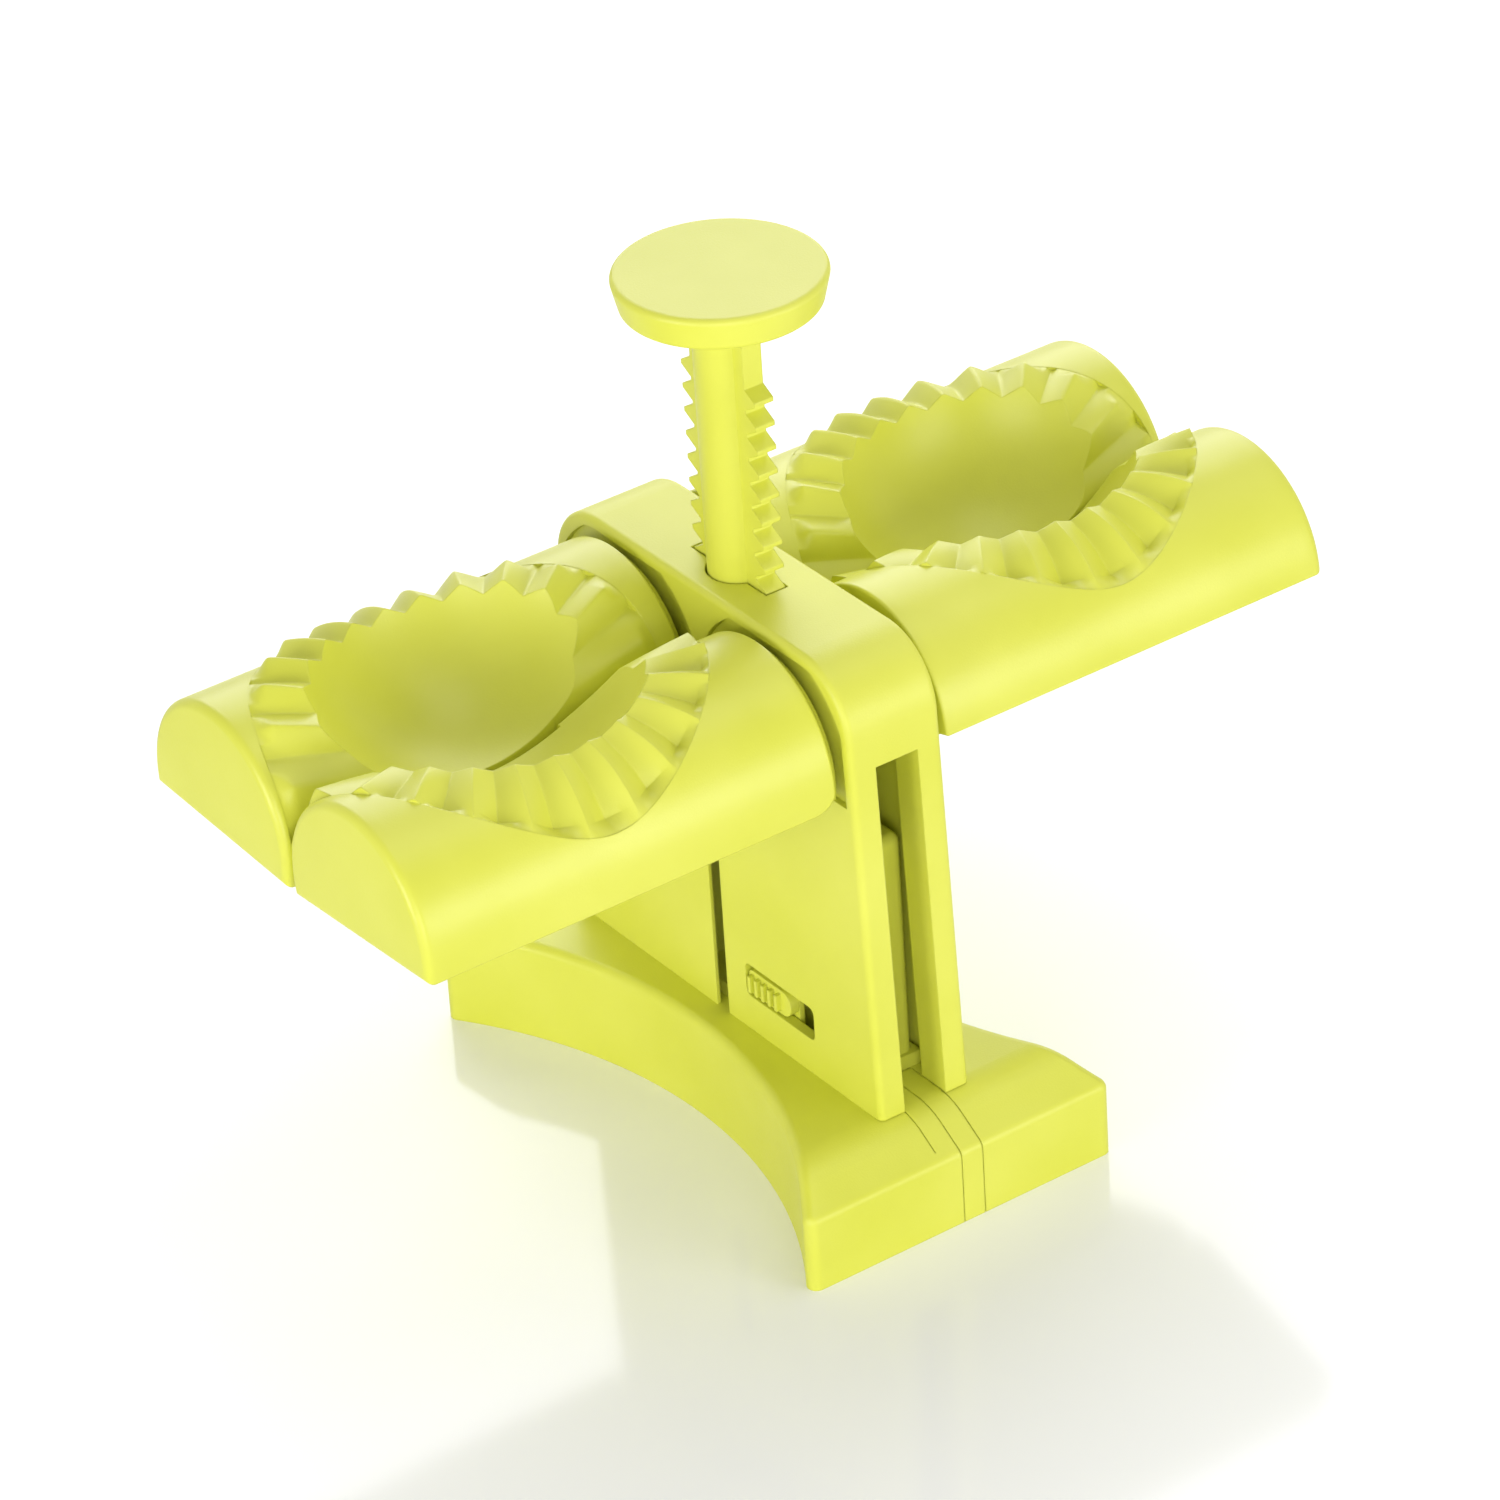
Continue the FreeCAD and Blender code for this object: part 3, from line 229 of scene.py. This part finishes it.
def smooth(mesh, crease):
    """Merge doubled points and shade smooth, but for edges sharper than the crease angle."""
    work = bmesh.new()
    work.from_mesh(mesh)
    bmesh.ops.remove_doubles(work, verts=work.verts, dist=1e-7)
    bmesh.ops.dissolve_degenerate(work, edges=work.edges, dist=1e-7)
    work.to_mesh(mesh)
    work.free()
    mesh.shade_smooth()
    mesh.set_sharp_from_angle(angle=crease)
    return mesh


# Moulds
def dee(radius, inset, x, arc_steps=168, flat_steps=24):
    """A half-round outline across X, drawn in by an inset: an arc about the axle, closed by a flat below."""
    reach = radius - inset
    level = MOULD_FLAT + inset
    lowest = math.asin(level / reach)
    roll = np.linspace(lowest, math.pi - lowest, arc_steps)
    across = np.linspace(-math.cos(lowest), math.cos(lowest), flat_steps + 2)[1:-1] * reach
    y = np.concatenate([reach * np.cos(roll), across])
    z = np.concatenate([reach * np.sin(roll), np.full(flat_steps, level)])
    return np.stack([np.full_like(y, x), y, z], -1)


def round_body():
    """The half-round bar along X: an outline at each station, drawn in along a quarter round at both ends."""
    turn = np.linspace(0, math.pi / 2, 8)
    heel = MOULD_HEEL_ROUNDING
    rings = [dee(MOULD_RADIUS, heel * (1 - math.sin(a)), MOULD_START + heel * (1 - math.cos(a)))
             for a in turn]
    tip = MOULD_END_ROUNDING
    body_to = MOULD_REACH - tip
    rings += [dee(MOULD_RADIUS, 0, x) for x in np.linspace(MOULD_START + heel, body_to, 46)[1:-1]]
    rings += [dee(MOULD_RADIUS, tip * (1 - math.cos(a)), body_to + tip * math.sin(a)) for a in turn]
    return lofted("round_body", rings)


def turned(name, radii, start, end):
    """A bar along X with the same ring of radii at both ends."""
    angle = np.linspace(0, 2 * math.pi, len(radii), endpoint=False)
    ring = np.stack([np.zeros_like(angle), radii * np.cos(angle), radii * np.sin(angle)], -1)
    return lofted(name, [ring + (start, 0, 0), ring + (end, 0, 0)])


def fold_lines(row, steps=14, end_steps=36):
    """Plan angle and height of each fold line, from ridge, plus one, to valley, minus one.

    The folds are even in plan, but the first and last half folds are even in their turn round the axle, where
    the round falls away towards the other mould. The height is a triangle wave with rounded ridges, more so
    on the rear row.
    """
    half = math.pi / PLEAT_COUNT / 2
    middle = (PLEAT_REACH + PLEAT_ROOT) / 2
    first_turn = math.acos(1 - middle * math.sin(half) / AXLE.y)
    share = np.linspace(0, 1, end_steps, endpoint=False)
    first = np.arcsin(AXLE.y * (1 - np.cos(first_turn * share)) / middle)
    inner_phase = np.linspace(1, 2 * PLEAT_COUNT - 1, steps * (2 * PLEAT_COUNT - 2) + 1)
    phase = np.concatenate([share, inner_phase, 2 * PLEAT_COUNT - share[::-1]])
    angle = np.concatenate([first, inner_phase * half, math.pi - first[::-1]])
    sharp = RIDGE_SHARPNESS[row]
    return angle, -row * np.arcsin(sharp * np.cos(math.pi * phase)) / math.asin(sharp)


def pleat_sheet(row, inner_lap, outer_lap, tuck, reach_of, rows=26, wall_rows=12):
    """Points over the pleated band: rings about the bowl's centre in plan, laid on the round by a reach rule.

    A point at plan radius p and angle a lies p sin a in from the contact line, at the roll whose cosine is
    1 - p sin a / axle distance. The rings stand closer over the outer wall, along which the climb goes from
    nought to one. The outer edge is drawn in a little towards its ends, and both ends are tucked under.
    """
    angle, height = fold_lines(row)
    edge = PLEAT_EDGE[row] - PLEAT_END_DRAW * np.cos(angle[:, None]) ** 2 - outer_lap
    root = PLEAT_ROOT + inner_lap
    inner = root + (edge - PLEAT_WALL[row] - root) * np.linspace(0, 1, rows, endpoint=False)
    outer = edge - PLEAT_WALL[row] * np.linspace(1, 0, wall_rows)
    plan = np.concatenate([inner, outer], 1)
    climb = np.broadcast_to(np.concatenate([np.zeros(rows), np.linspace(0, 1, wall_rows)]), plan.shape)
    height = np.broadcast_to(height[:, None], plan.shape)
    roll = np.arccos(1 - plan * np.sin(angle[:, None]) / AXLE.y)
    along = plan * np.cos(angle[:, None])
    ends = [0] + list(range(len(angle))) + [len(angle) - 1]
    plan, height, along, roll, climb = (grid[ends] for grid in (plan, height, along, roll, climb))
    roll[[0, -1]] = -tuck
    reach = reach_of(plan, roll, height, climb)
    return np.stack([BOWL_CENTRE + along, -row * reach * np.cos(roll), reach * np.sin(roll)], -1)


def pleats(row):
    """The pleated band and the slightly smaller bed that is cut for it.

    The folds grow from the bowl outwards. Where the pair meets, the front row stands proud and the rear row
    low; at the far side the front row sinks and the rear row stands proud. Over the wall, what is sunk climbs
    straight to the bar's own surface on the front row, and what is proud falls to it in a soft round on the
    rear row.
    """
    def crest(plan, roll, height, climb):
        share = np.clip((roll - PLEAT_LEAN_START) / (PLEAT_LEAN_END - PLEAT_LEAN_START), 0, 1)
        lean = PLEAT_LEAN[row] * share - PLEAT_HORN * (1 - share)
        growth = np.clip((plan - PLEAT_FADE[row]) / (PLEAT_REACH - PLEAT_FADE[row]), PLEAT_LEAST_SHARE, 1)
        folded = PLEAT_MEAN + row * lean + height * PLEAT_HEIGHT * growth
        bar = MOULD_RADIUS - PLEAT_EDGE_LAP
        if row < 0:
            return folded + np.maximum(bar - folded, 0) * climb
        return folded - np.maximum(folded - bar, 0) * climb ** 2 * (3 - 2 * climb)

    def level(radius):
        return lambda plan, roll, height, climb: np.full_like(roll, radius)

    tuck = PLEAT_TUCK[row]
    bed_tuck = tuck - PLEAT_LAP / MOULD_RADIUS
    band = slab("band", pleat_sheet(row, 0, 0, tuck, crest),
                pleat_sheet(row, 0, 0, tuck, level(PLEAT_BED - PLEAT_LAP)))
    bed = slab("bed", pleat_sheet(row, PLEAT_LAP, PLEAT_EDGE_LAP, bed_tuck, level(AXLE.y + 2 * CUT_OVERRUN)),
               pleat_sheet(row, PLEAT_LAP, PLEAT_EDGE_LAP, bed_tuck, level(PLEAT_BED)))
    return band, bed


def heel_corner(row, steps=16):
    """What is cut off the bar's lower outer corner beside the tower: a square corner less a quarter round."""
    turn = np.linspace(0, math.pi / 2, steps)
    x = MOULD_START + HEEL_CORNER * (1 - np.cos(turn))
    z = MOULD_FLAT + HEEL_CORNER * (1 - np.sin(turn))
    beyond = MOULD_START - CUT_OVERRUN
    below = MOULD_FLAT - CUT_OVERRUN
    x = np.concatenate([x, [MOULD_START + HEEL_CORNER, beyond, beyond]])
    z = np.concatenate([z, [below, below, MOULD_FLAT + HEEL_CORNER]])
    sides = [np.stack([x, np.full_like(x, row * y), z], -1)
             for y in (HEEL_CORNER_FROM, MOULD_RADIUS + CUT_OVERRUN)]
    return lofted("heel_corner", sides)


def ball(name, centre, radius, steps=160):
    """A sphere: circles of latitude between two poles, stacked along X."""
    lean = np.linspace(0, math.pi, steps // 2 + 1)[1:-1]
    spin = np.linspace(0, 2 * math.pi, steps, endpoint=False)
    lean, spin = np.meshgrid(lean, spin, indexing="ij")
    rings = np.stack([np.cos(lean), np.sin(lean) * np.cos(spin), np.sin(lean) * np.sin(spin)], -1)
    return lofted(name, rings * radius + np.array(centre))


def box_between(name, low, high):
    """A block between two corners, as a loft of two rectangles along Z."""
    ring = np.array([(low[0], low[1], 0), (high[0], low[1], 0), (high[0], high[1], 0), (low[0], high[1], 0)])
    return lofted(name, [ring + (0, 0, low[2]), ring + (0, 0, high[2])])


def mould_blank(row, side):
    """One mould on its own axle at the origin: the round bar with its flange, pleats and half of the bowl.

    The front left mould and the rear right one, its like turned end for end, have a rounded heel corner.
    """
    band, bed = pleats(row)
    flange = lofted("flange", [dee(FLANGE_RADIUS, 0, x) for x in (FLANGE_START, MOULD_START + INTO_BODY)])
    journal = turned("journal", np.full(96, JOURNAL_RADIUS), JOURNAL_START, FLANGE_START + INTO_BODY)
    tips = SPLINE_RADIUS - SPLINE_DEPTH * (np.arange(2 * SPLINE_COUNT) % 2)
    spline = turned("spline", tips, SPLINE_START, JOURNAL_START + INTO_BODY)
    bowl = ball("bowl", (BOWL_CENTRE, -row * AXLE.y, BOWL_RISE), BOWL_RADIUS)
    rebate = box_between("rebate", (COVER_START, -COVER_HALF_WIDTH, MOULD_FLAT - INTO_BODY),
                         (MOULD_REACH - COVER_END_MARGIN, COVER_HALF_WIDTH, MOULD_FLAT + COVER_DEPTH))
    steps = [("DIFFERENCE", bed), ("UNION", band), ("DIFFERENCE", bowl), ("DIFFERENCE", rebate)]
    if row == side:
        steps.append(("DIFFERENCE", heel_corner(row)))
    steps += [("UNION", flange), ("UNION", journal), ("UNION", spline)]
    return combined("mould_blank", round_body(), steps)


def make_moulds(material):
    """Four moulds: each is mirrored to its side, turned shut to its rest tilt and set on its axle."""
    for row_name, row in (("front", -1), ("rear", 1)):
        for side_name, side in (("left", -1), ("right", 1)):
            node = "%s_%s_mould" % (row_name, side_name)
            tilt = REST_TILT + (2 * math.pi / SPLINE_COUNT if side > 0 else 0)
            mesh = mould_blank(row, side)
            turn = Matrix.Rotation(row * tilt, 4, "X") @ Matrix.Diagonal((side, 1, 1, 1))
            mesh.transform(Matrix.Translation((0, row * AXLE.y, AXLE.z)) @ turn)
            if side < 0:
                mesh.flip_normals()
            piece = add_piece(node + "_body", smooth(mesh, MOULD_CREASE), material,
                              row_name + "_rotor")
            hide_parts(node)


# Return spring
def make_spring(material):
    """A round wire carried along a helix whose pitch closes over the last turns at both ends."""
    low, high = (corner.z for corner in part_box("return_spring"))
    turn = np.linspace(0, SPRING_TURNS, SPRING_TURNS * 36 + 1)
    ease = np.clip(np.minimum(turn, SPRING_TURNS - turn) / SPRING_CLOSED_TURNS, 0, 1)
    pitch = 2 * SPRING_WIRE + ease ** 2 * SPRING_OPEN_PITCH
    climb = np.concatenate([[0], np.cumsum((pitch[1:] + pitch[:-1]) / 2 * np.diff(turn))])
    centre_z = low + SPRING_WIRE + climb / climb[-1] * (high - low - 2 * SPRING_WIRE)
    angle = 2 * math.pi * turn
    line = np.stack([SPRING_RADIUS * np.cos(angle), SPRING_RADIUS * np.sin(angle), centre_z], -1)
    way = np.gradient(line, axis=0)
    way /= np.linalg.norm(way, axis=1, keepdims=True)
    outward = np.stack([np.cos(angle), np.sin(angle), np.zeros_like(angle)], -1)
    upward = np.cross(way, outward)
    spin = np.linspace(0, 2 * math.pi, 12, endpoint=False)[None, :, None]
    rings = line[:, None] + SPRING_WIRE * (np.cos(spin) * outward[:, None] + np.sin(spin) * upward[:, None])
    piece = add_piece("return_spring_coil", smooth(lofted("return_spring_coil", rings), SPRING_CREASE),
                      material, "stand")
    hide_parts("return_spring")
    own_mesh(piece)


def add_piece(name, mesh, material, body):
    """Put a finished mesh into the scene on its body."""
    mesh.name = name
    piece = bpy.data.objects.new(name, mesh)
    bpy.context.scene.collection.objects.link(piece)
    mesh.materials.clear()
    mesh.materials.append(material)
    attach(piece, body)
    return piece


# Finishes
def new_group(name, inputs, outputs):
    """An empty shader group with named value inputs, given with their defaults, and named outputs."""
    group = bpy.data.node_groups.new(name, "ShaderNodeTree")
    for word, value in inputs.items():
        group.interface.new_socket(word, in_out="INPUT", socket_type="NodeSocketFloat").default_value = value
    for word in outputs:
        group.interface.new_socket(word, in_out="OUTPUT", socket_type="NodeSocketFloat")
    return group, group.nodes.new("NodeGroupInput"), group.nodes.new("NodeGroupOutput")


def add_node(tree, kind, **settings):
    node = tree.nodes.new(kind)
    for word, value in settings.items():
        setattr(node, word, value)
    return node


def mapped(tree, value, low, high, from_low=0.3, from_high=0.7):
    """Stretch a value over a range."""
    node = add_node(tree, "ShaderNodeMapRange")
    for socket, number in zip(("From Min", "From Max", "To Min", "To Max"), (from_low, from_high, low, high)):
        node.inputs[socket].default_value = number
    tree.links.new(value, node.inputs["Value"])
    return node.outputs["Result"]


def noise(tree, place, scale, detail):
    node = add_node(tree, "ShaderNodeTexNoise")
    node.inputs["Detail"].default_value = detail
    if isinstance(scale, float):
        node.inputs["Scale"].default_value = scale
    else:
        tree.links.new(scale, node.inputs["Scale"])
    tree.links.new(place, node.inputs["Vector"])
    return node.outputs["Fac"]


def moulded_skin_group():
    """What moulding leaves on plastic: broad clouds as Tone, uneven gloss as Gloss, fine grain as Grain."""
    group, given, result = new_group("moulded_skin", {"Flow Scale": 28.0, "Grain Scale": 2600.0},
                                     ("Tone", "Gloss", "Grain"))
    place = add_node(group, "ShaderNodeTexCoord").outputs["Object"]
    flow = noise(group, place, given.outputs["Flow Scale"], 3.0)
    grain = noise(group, place, given.outputs["Grain Scale"], 2.0)
    group.links.new(mapped(group, flow, 0, 1), result.inputs["Tone"])
    group.links.new(mapped(group, grain, -1, 1), result.inputs["Gloss"])
    group.links.new(grain, result.inputs["Grain"])
    return group


def lime_finish(name, skin, roughness, grain_height):
    """Lime plastic: two close tones in flow clouds, a fine grain, and edges eased by a small radius."""
    material = bpy.data.materials.new(name)
    material.use_nodes = True
    tree = material.node_tree
    shader = tree.nodes["Principled BSDF"]
    shader.inputs["IOR"].default_value = PLASTIC_IOR
    marks = add_node(tree, "ShaderNodeGroup", node_tree=skin)
    colour = add_node(tree, "ShaderNodeMix", data_type="RGBA")
    colour.inputs["A"].default_value = LIME + (1,)
    colour.inputs["B"].default_value = LIME_PALE + (1,)
    tree.links.new(marks.outputs["Tone"], colour.inputs["Factor"])
    tree.links.new(colour.outputs["Result"], shader.inputs["Base Color"])
    swing = PLASTIC_GLOSS_SWING
    gloss = mapped(tree, marks.outputs["Gloss"], roughness - swing, roughness + swing, -1, 1)
    tree.links.new(gloss, shader.inputs["Roughness"])
    eased = add_node(tree, "ShaderNodeBevel", samples=6)
    eased.inputs["Radius"].default_value = PLASTIC_EDGE
    bump = add_node(tree, "ShaderNodeBump")
    bump.inputs["Distance"].default_value = grain_height
    bump.inputs["Strength"].default_value = 1.0
    tree.links.new(marks.outputs["Grain"], bump.inputs["Height"])
    tree.links.new(eased.outputs["Normal"], bump.inputs["Normal"])
    tree.links.new(bump.outputs["Normal"], shader.inputs["Normal"])
    return material


def steel_finish(name, skin, roughness):
    """Bright plated steel, with faint clouding in colour and gloss."""
    material = bpy.data.materials.new(name)
    material.use_nodes = True
    tree = material.node_tree
    shader = tree.nodes["Principled BSDF"]
    shader.inputs["Metallic"].default_value = 1.0
    marks = add_node(tree, "ShaderNodeGroup", node_tree=skin)
    marks.inputs["Flow Scale"].default_value = STEEL_FLOW_SCALE
    colour = add_node(tree, "ShaderNodeMix", data_type="RGBA")
    colour.inputs["A"].default_value = STEEL_DARK + (1,)
    colour.inputs["B"].default_value = STEEL + (1,)
    tree.links.new(marks.outputs["Tone"], colour.inputs["Factor"])
    tree.links.new(colour.outputs["Result"], shader.inputs["Base Color"])
    swing = STEEL_GLOSS_SWING
    gloss = mapped(tree, marks.outputs["Gloss"], roughness - swing, roughness + swing, -1, 1)
    tree.links.new(gloss, shader.inputs["Roughness"])
    return material


# Studio
def make_floor():
    """A white floor with the object's shadow and reflection, which the camera sees fade to plain white."""
    half = FLOOR_HALF
    mesh = bpy.data.meshes.new("studio_floor")
    corners = [(-half, -half, 0), (half, -half, 0), (half, half, 0), (-half, half, 0)]
    mesh.from_pydata(corners, [], [(0, 1, 2, 3)])
    floor = bpy.data.objects.new("studio_floor", mesh)
    bpy.context.scene.collection.objects.link(floor)
    material = bpy.data.materials.new("studio_white")
    material.use_nodes = True
    tree = material.node_tree
    shader = tree.nodes["Principled BSDF"]
    shader.inputs["Base Color"].default_value = FLOOR + (1,)
    shader.inputs["Roughness"].default_value = FLOOR_ROUGHNESS
    glow = add_node(tree, "ShaderNodeEmission")
    glow.inputs["Color"].default_value = WHITE + (1,)
    glow.inputs["Strength"].default_value = FLOOR_WHITE
    place = add_node(tree, "ShaderNodeTexCoord").outputs["Object"]
    distance = add_node(tree, "ShaderNodeVectorMath", operation="LENGTH")
    tree.links.new(place, distance.inputs[0])
    share = add_node(tree, "ShaderNodeMath", operation="MULTIPLY")
    path = add_node(tree, "ShaderNodeLightPath")
    mix = add_node(tree, "ShaderNodeMixShader")
    tree.links.new(path.outputs["Is Camera Ray"], share.inputs[0])
    tree.links.new(mapped(tree, distance.outputs["Value"], *FLOOR_SHARES, *FLOOR_FADE), share.inputs[1])
    tree.links.new(share.outputs["Value"], mix.inputs["Fac"])
    tree.links.new(shader.outputs["BSDF"], mix.inputs[1])
    tree.links.new(glow.outputs["Emission"], mix.inputs[2])
    tree.links.new(mix.outputs["Shader"], tree.nodes["Material Output"].inputs["Surface"])
    mesh.materials.append(material)


def make_world(strength):
    """An even white room: full white where it is seen or mirrored, and softer as light."""
    world = bpy.data.worlds.new("studio")
    bpy.context.scene.world = world
    world.use_nodes = True
    tree = world.node_tree
    background = tree.nodes["Background"]
    background.inputs["Color"].default_value = WHITE + (1,)
    path = add_node(tree, "ShaderNodeLightPath")
    seen = path.outputs["Is Camera Ray"]
    for other in ("Is Glossy Ray", "Is Transmission Ray"):
        either = add_node(tree, "ShaderNodeMath", operation="MAXIMUM")
        tree.links.new(seen, either.inputs[0])
        tree.links.new(path.outputs[other], either.inputs[1])
        seen = either.outputs["Value"]
    tree.links.new(mapped(tree, seen, strength, 1.0, 0, 1), background.inputs["Strength"])


def soft_lamp(name, place, size, power):
    """A square soft box that faces the middle of the object."""
    lamp = bpy.data.lights.new(name, "AREA")
    lamp.size = size
    lamp.energy = power
    holder = bpy.data.objects.new(name, lamp)
    bpy.context.scene.collection.objects.link(holder)
    holder.location = place
    holder.rotation_euler = (AIM - Vector(place)).to_track_quat("-Z", "Y").to_euler()


def make_camera():
    """The view's level right and up vectors for the azimuth and elevation, then turned by the roll."""
    out = math.cos(ELEVATION)
    back = Vector((math.sin(AZIMUTH) * out, -math.cos(AZIMUTH) * out, math.sin(ELEVATION)))
    level = Vector((math.cos(AZIMUTH), math.sin(AZIMUTH), 0))
    upright = back.cross(level)
    right = level * math.cos(ROLL) + upright * math.sin(ROLL)
    up = upright * math.cos(ROLL) - level * math.sin(ROLL)
    data = bpy.data.cameras.new("studio_camera")
    data.sensor_fit = "HORIZONTAL"
    data.sensor_width = SENSOR_MM
    data.lens = FOCAL_PIXELS / PICTURE_SIZE * SENSOR_MM
    camera = bpy.data.objects.new("studio_camera", data)
    bpy.context.scene.collection.objects.link(camera)
    facing = Matrix((right, up, back)).transposed().to_4x4()
    camera.matrix_world = Matrix.Translation(AIM + back * DISTANCE) @ facing
    bpy.context.scene.camera = camera


skin = moulded_skin_group()
lime_mould = lime_finish("lime_mould", skin, 0.36, 0.00002)
lime_case = lime_finish("lime_case", skin, 0.42, 0.00003)
bright_steel = steel_finish("bright_steel", skin, 0.28)
steel_nodes = {part["node"] for part in frame["record"]["subparts"]
               if part["material_slot"] == "bright_steel"}
for name, node in NODES.items():
    node.data.materials.clear()
    node.data.materials.append(bright_steel if name in steel_nodes else lime_case)

make_moulds(lime_mould)
make_spring(bright_steel)
make_floor()
make_world(ROOM_LIGHT)
for name, (place, size, power) in LAMPS.items():
    soft_lamp(name, place, size, power)
make_camera()
bpy.context.scene.view_settings.view_transform = "Standard"
